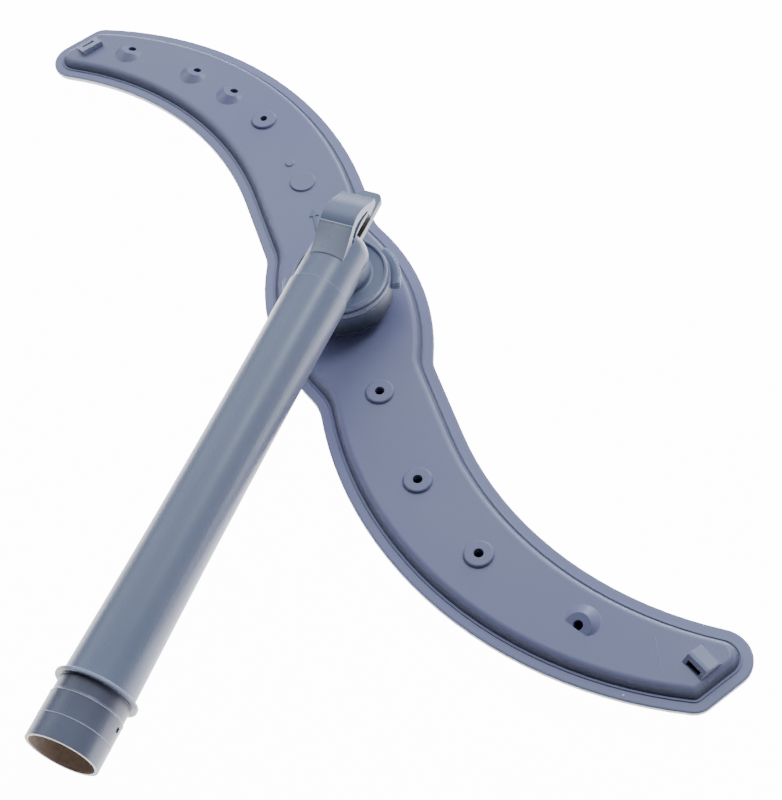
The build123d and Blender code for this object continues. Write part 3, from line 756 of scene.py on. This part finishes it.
class SPRAYARM_OT_knurl(bpy.types.Operator):
    """Add the fine knurling on the rims of the ring's two grips"""

    bl_idname = "sprayarm.knurl"
    bl_label = "Knurl Grip Rims"

    def execute(self, context):
        sizes = context.scene.spray_arm_marks
        finish = finishes()
        # The knurls are painted near-white, as painted highlights.
        pale = plastic("knurl_plastic", finish.fleck_and_knurl_highlight_colour, finish.edge_highlight_colour, edge_gain=0.5)
        stretch = Matrix.Diagonal((0.8, 0.9, 1.6, 1))
        level = RING_TOP - sizes.knurl_drop
        count = sizes.knurl_count
        shape = bmesh.new()
        for side in (0, pi):
            for i in range(count):
                turn = sizes.grip_direction + side + sizes.grip_angle * ((i + 0.5) / count - 0.5)
                place = Vector((sizes.grip_radius * cos(turn), sizes.grip_radius * sin(turn), level))
                bead = Matrix.Translation(place) @ Matrix.Rotation(turn, 4, "Z") @ stretch
                bmesh.ops.create_icosphere(shape, subdivisions=2, radius=sizes.knurl_radius, matrix=bead)
        for face in shape.faces:
            face.smooth = True
        ride_mesh("grip_knurls", shape, "ring", pale)
        return {"FINISHED"}


def on_arm(x, y, level):
    """Point over the arm's own plan, x along the blades, in millimetres, at a level in metres."""
    return Matrix.Rotation(ARM_TURN, 3, "Z") @ Vector((x * MM, y * MM, level))


def inset_corners(corners, amount):
    """Corners of a plan outline moved inwards by some distance. The outline runs anticlockwise."""
    moved = []
    for before, here, after in zip(corners[-1:] + corners[:-1], corners, corners[1:] + corners[:1]):
        first = (here - before).normalized()
        second = (after - here).normalized()
        first_side = Vector((-first.y, first.x))
        second_side = Vector((-second.y, second.x))
        reach = amount / max(0.3, 1 + first_side.dot(second_side))
        moved.append(here + (first_side + second_side) * reach)
    return moved


def raised_mark(name, outline, place, turn, height, slope, material):
    """Low moulded mark on the arm's panel, with sloping sides."""
    shape = bmesh.new()
    spin = Matrix.Rotation(ARM_TURN + turn, 3, "Z")
    corners = [Vector(corner) for corner in outline]
    loops = []
    for loop, level in ((corners, -0.05 * MM), (corners, 0.0), (inset_corners(corners, slope), height)):
        loops.append([shape.verts.new(place + spin @ Vector((c.x, c.y, level))) for c in loop])
    for lower, upper in zip(loops, loops[1:]):
        join_rows(shape, lower, upper)
    shape.faces.new(loops[-1])
    shape.faces.new(reversed(loops[0]))
    bmesh.ops.triangulate(shape, faces=[face for face in shape.faces if len(face.verts) > 4])
    ride_mesh(name, shape, "arm", material)


class SPRAYARM_OT_arrow(bpy.types.Operator):
    """Raise the flow arrow on the arm's panel"""

    bl_idname = "sprayarm.arrow"
    bl_label = "Raise Flow Arrow"

    def execute(self, context):
        sizes = context.scene.spray_arm_marks
        half_head, half_shaft = sizes.arrow_head / 2, sizes.arrow_shaft / 2
        outline = [
            (0, 0),
            (-sizes.arrow_head, half_head),
            (-sizes.arrow_head, half_shaft),
            (-sizes.arrow_length, half_shaft),
            (-sizes.arrow_length, -half_shaft),
            (-sizes.arrow_head, -half_shaft),
            (-sizes.arrow_head, -half_head),
        ]
        tip = on_arm(*sizes.arrow_tip, PANEL_LEVEL)
        height = sizes.arrow_height
        shell = bpy.data.materials["arm_plastic"]
        raised_mark("flow_arrow", outline, tip, sizes.arrow_heading, height, height / 2, shell)
        return {"FINISHED"}


def hoop(name, place, thickness, material):
    """Fine round rib about the pipe's axis, two thirds of it sunk into the docking end."""
    shape = bmesh.new()
    turns, sides = 96, 8
    radius = DOCK_RADIUS - thickness / 3
    rows = []
    for i in range(turns):
        a = 2 * pi * i / turns
        row = []
        for j in range(sides):
            b = 2 * pi * j / sides
            r = radius + thickness * cos(b)
            point_on_rib = (r * sin(a), place + thickness * sin(b), PIPE_LEVEL + r * cos(a))
            row.append(shape.verts.new(point_on_rib))
        rows.append(row)
    for before, after in zip(rows, rows[1:] + rows[:1]):
        for face in join_rows(shape, before, after):
            face.smooth = True
    bmesh.ops.recalc_face_normals(shape, faces=shape.faces)
    ride_mesh(name, shape, "pipe", material)


def speck(name, place, radius, body, material):
    """Flattened irregular speck of flash."""
    shape = bmesh.new()
    bmesh.ops.create_icosphere(shape, subdivisions=2, radius=radius)
    for vert in shape.verts:
        vert.co.x *= 1 + 0.2 * sin(vert.co.y / radius * 2)
        vert.co.z *= 0.7
        vert.co += Vector(place)
    for face in shape.faces:
        face.smooth = True
    ride_mesh(name, shape, body, material)


class SPRAYARM_OT_marks(bpy.types.Operator):
    """Add the fine marks that moulding leaves: ribs, a flow line and specks"""

    bl_idname = "sprayarm.marks"
    bl_label = "Add Moulding Marks"

    def execute(self, context):
        sizes = context.scene.spray_arm_marks
        finish = finishes()
        pipe = bpy.data.materials["pipe_plastic"]
        pale = plastic("pale_mark", finish.highlight_line_colour, finish.highlight_line_colour, edge_gain=0.5)
        flash = plastic("flash_speck", finish.fleck_and_knurl_highlight_colour, finish.fleck_and_knurl_highlight_colour, edge_gain=0.2)
        faint = plastic("faint_mark", finish.faint_colour, finish.faint_colour, edge_gain=0.0)
        # The ribs round the docking end are painted pale, as painted highlights.
        hoop("dock_rib", sizes.outer_rib, sizes.rib_radius, pale)
        hoop("collar_rib", sizes.inner_rib, sizes.rib_radius, pale)

        start = on_arm(*sizes.flow_start, PANEL_LEVEL)
        line = on_arm(*sizes.flow_end, PANEL_LEVEL) - start
        run, half = line.length, sizes.flow_width / 2
        heading = -Vector((1, 0)).angle_signed(line.xy) - ARM_TURN
        outline = [(0, -half), (run, -half / 2), (run, half / 2), (0, half)]
        raised_mark("flow_line", outline, start, heading, sizes.flow_height, half / 3, faint)

        fleck = on_arm(*sizes.fleck_place, FLANGE_LEVEL)
        speck("flange_fleck", fleck, sizes.fleck_radius, "arm", flash)
        speck("cap_pip", sizes.pip_place, sizes.pip_radius, "pipe", pipe)
        return {"FINISHED"}


def lay_floor(values):
    """Pale floor at the level that the arm rests on, a light table that fades outwards."""
    half = values.floor_size / 2
    mesh = bpy.data.meshes.new("floor")
    corners = [(-half, -half, 0), (half, -half, 0), (half, half, 0), (-half, half, 0)]
    mesh.from_pydata(corners, [], [(0, 1, 2, 3)])
    floor = bpy.data.objects.new("floor", mesh)
    floor.location.z = cad_box[0].z - values.floor_gap
    material = bpy.data.materials.new("pale_floor")
    material.use_nodes = True
    tree = material.node_tree
    shader = tree.nodes["Principled BSDF"]
    shader.inputs["Base Color"].default_value = (*values.floor_colour, 1)
    shader.inputs["Roughness"].default_value = 0.9
    shader.inputs["Emission Color"].default_value = (1.0, 1.0, 1.0, 1.0)
    distance = vector_node(tree, "LENGTH", surface_place(tree))
    near = ramp(tree, distance, values.glow_start, values.glow_reach, 1.0, 0.0)
    path = tree.nodes.new("ShaderNodeLightPath").outputs
    thrown = ramp(tree, path["Is Glossy Ray"], 0.0, 1.0, values.floor_glow, values.floor_mirror)
    glow = ramp(tree, path["Is Camera Ray"], 0.0, 1.0, multiply(tree, thrown, near), values.white)
    feed(tree, shader.inputs["Emission Strength"], glow)
    mesh.materials.append(material)
    bpy.context.scene.collection.objects.link(floor)


def hang_softbox(name, power, shade, place, size):
    """Square softbox that points at the hub."""
    light = bpy.data.lights.new(name, "AREA")
    light.energy = power
    light.size = size
    light.color = shade
    box = bpy.data.objects.new(name, light)
    box.location = place
    box.rotation_euler = (-Vector(place)).to_track_quat("-Z", "Y").to_euler()
    bpy.context.scene.collection.objects.link(box)


def light_surroundings(values):
    """White surroundings, bright above and behind the part, dark low down on the camera's side."""
    world = bpy.data.worlds.new("studio")
    world.use_nodes = True
    tree = world.node_tree
    background = tree.nodes["Background"]
    background.inputs["Color"].default_value = (*values.light_colour, 1)
    direction = tree.nodes.new("ShaderNodeTexCoord").outputs["Generated"]
    facing = vector_node(tree, "DOT_PRODUCT", direction, Vector(values.bright_side).normalized())
    start, full = values.bright_start, values.bright_full
    strength = ramp(tree, facing, start, full, values.dark_strength, values.bright_strength)
    seen = tree.nodes.new("ShaderNodeLightPath").outputs["Is Camera Ray"]
    feed(tree, background.inputs["Strength"], ramp(tree, seen, 0.0, 1.0, strength, values.white))
    bpy.context.scene.world = world


def set_camera(values):
    """Camera at the photograph's viewing angle."""
    lens = bpy.data.cameras.new("photo_camera")
    lens.lens = values.focal_length
    lens.sensor_width = values.sensor_width
    camera = bpy.data.objects.new("photo_camera", lens)
    camera.location = values.camera_place
    camera.rotation_euler = values.camera_turn
    bpy.context.scene.collection.objects.link(camera)
    bpy.context.scene.camera = camera


class SPRAYARM_OT_stage(bpy.types.Operator):
    """Lay the floor and set the light and the camera"""

    bl_idname = "sprayarm.stage"
    bl_label = "Set the Stage"

    def execute(self, context):
        values = context.scene.spray_arm_studio
        lay_floor(values)
        for side, place, size in SOFTBOXES:
            power = getattr(values, f"{side}_power")
            hang_softbox(f"{side}_softbox", power, values.light_colour, place, size)
        light_surroundings(values)
        set_camera(values)
        return {"FINISHED"}


class SPRAYARM_PT_panel(bpy.types.Panel):
    """Buttons for each step of the dressing"""

    bl_label = "Spray Arm"
    bl_idname = "SPRAYARM_PT_panel"
    bl_space_type = "VIEW_3D"
    bl_region_type = "UI"
    bl_category = "Spray Arm"

    def draw(self, context):
        for operator in OPERATORS:
            self.layout.operator(operator.bl_idname)


OPERATORS = (
    SPRAYARM_OT_groups,
    SPRAYARM_OT_arm,
    SPRAYARM_OT_pipe,
    SPRAYARM_OT_ring,
    SPRAYARM_OT_saddle,
    SPRAYARM_OT_knurl,
    SPRAYARM_OT_arrow,
    SPRAYARM_OT_marks,
    SPRAYARM_OT_stage,
)
CLASSES = (PlasticFinish, MarkSizes, SaddleSizes, StudioSettings, *OPERATORS, SPRAYARM_PT_panel)


def register():
    for entry in CLASSES:
        bpy.utils.register_class(entry)
    bpy.types.Scene.spray_arm_finish = PointerProperty(type=PlasticFinish)
    bpy.types.Scene.spray_arm_marks = PointerProperty(type=MarkSizes)
    bpy.types.Scene.spray_arm_saddle = PointerProperty(type=SaddleSizes)
    bpy.types.Scene.spray_arm_studio = PointerProperty(type=StudioSettings)


def unregister():
    del bpy.types.Scene.spray_arm_studio
    del bpy.types.Scene.spray_arm_saddle
    del bpy.types.Scene.spray_arm_marks
    del bpy.types.Scene.spray_arm_finish
    for entry in reversed(CLASSES):
        bpy.utils.unregister_class(entry)


def main():
    register()
    bpy.ops.sprayarm.groups()
    bpy.ops.sprayarm.arm()
    bpy.ops.sprayarm.pipe()
    bpy.ops.sprayarm.ring()
    bpy.ops.sprayarm.saddle()
    bpy.ops.sprayarm.knurl()
    bpy.ops.sprayarm.arrow()
    bpy.ops.sprayarm.marks()
    bpy.ops.sprayarm.stage()


if __name__ == "__main__":
    main()
